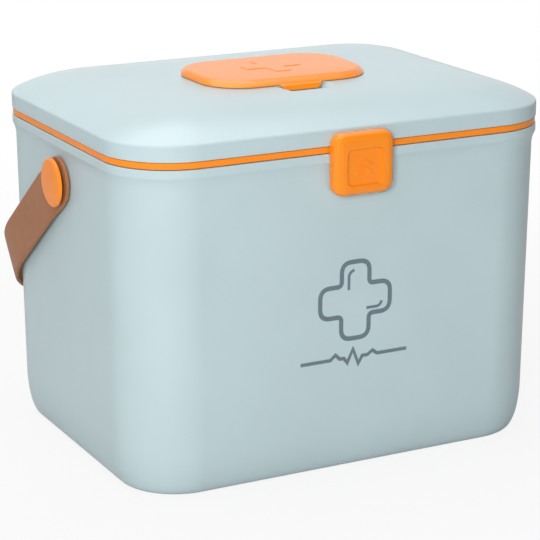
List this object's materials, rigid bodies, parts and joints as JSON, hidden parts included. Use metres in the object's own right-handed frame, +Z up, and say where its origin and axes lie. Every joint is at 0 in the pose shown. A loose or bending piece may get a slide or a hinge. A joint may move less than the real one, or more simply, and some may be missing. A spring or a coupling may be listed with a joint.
{
  "type": "medicine chest",
  "caption": "Portable moulded medicine chest with a hinged crowned lid, flip latch, small top hatch over a bin, lift-out divided tray and a folding carrying strap.",
  "frame": {"origin": "centre of the case's flat underside", "axes": "+X to the object's right along its width, +Y to the back where the lid hinges, +Z up"},
  "size_m": [0.3134, 0.2578, 0.2401],
  "materials": {
    "shell": "pale blue-grey moulded polypropylene, satin gloss",
    "orange": "orange moulded plastic, satin gloss",
    "strap": "brown moulded strap, fine matt texture",
    "tray": "milky white moulded polypropylene",
    "steel": "bright steel pins and rings"
  },
  "bodies": {
    "case": {"case_body": "shell", "rim_band": "orange", "hinge_pin_left": "steel", "hinge_pin_right": "steel", "handle_button_left": "orange", "handle_button_right": "orange", "handle_retainer_left": "steel", "handle_retainer_right": "steel", "tray": "tray", "tray_grip": "tray", "tray_divider_front_left": "tray", "tray_divider_front_right": "tray", "tray_divider_back": "tray"},
    "lid": {"lid_shell": "shell", "top_bin": "tray", "hatch_pin": "steel", "latch_pin": "steel"},
    "hatch": {"hatch": "orange"},
    "latch": {"latch": "orange"},
    "handle": {"handle_strap": "strap"}
  },
  "joints": [
    {"name": "lid_hinge", "type": "hinge", "parent": "case", "child": "lid", "pos_m": [0, 0.1202, 0.20935], "axis": [-1, 0, 0], "range_deg": [0, 105]},
    {"name": "latch_hinge", "type": "hinge", "parent": "lid", "child": "latch", "pos_m": [0, -0.1174, 0.2179], "axis": [-1, 0, 0], "range_deg": [0, 90]},
    {"name": "hatch_hinge", "type": "hinge", "parent": "lid", "child": "hatch", "pos_m": [0, 0.0393, 0.2368], "axis": [-1, 0, 0], "range_deg": [0, 110]},
    {"name": "handle_hinge", "type": "hinge", "parent": "case", "child": "handle", "pos_m": [0, 0, 0.1795], "axis": [1, 0, 0], "range_deg": [0, 253]}
  ]
}
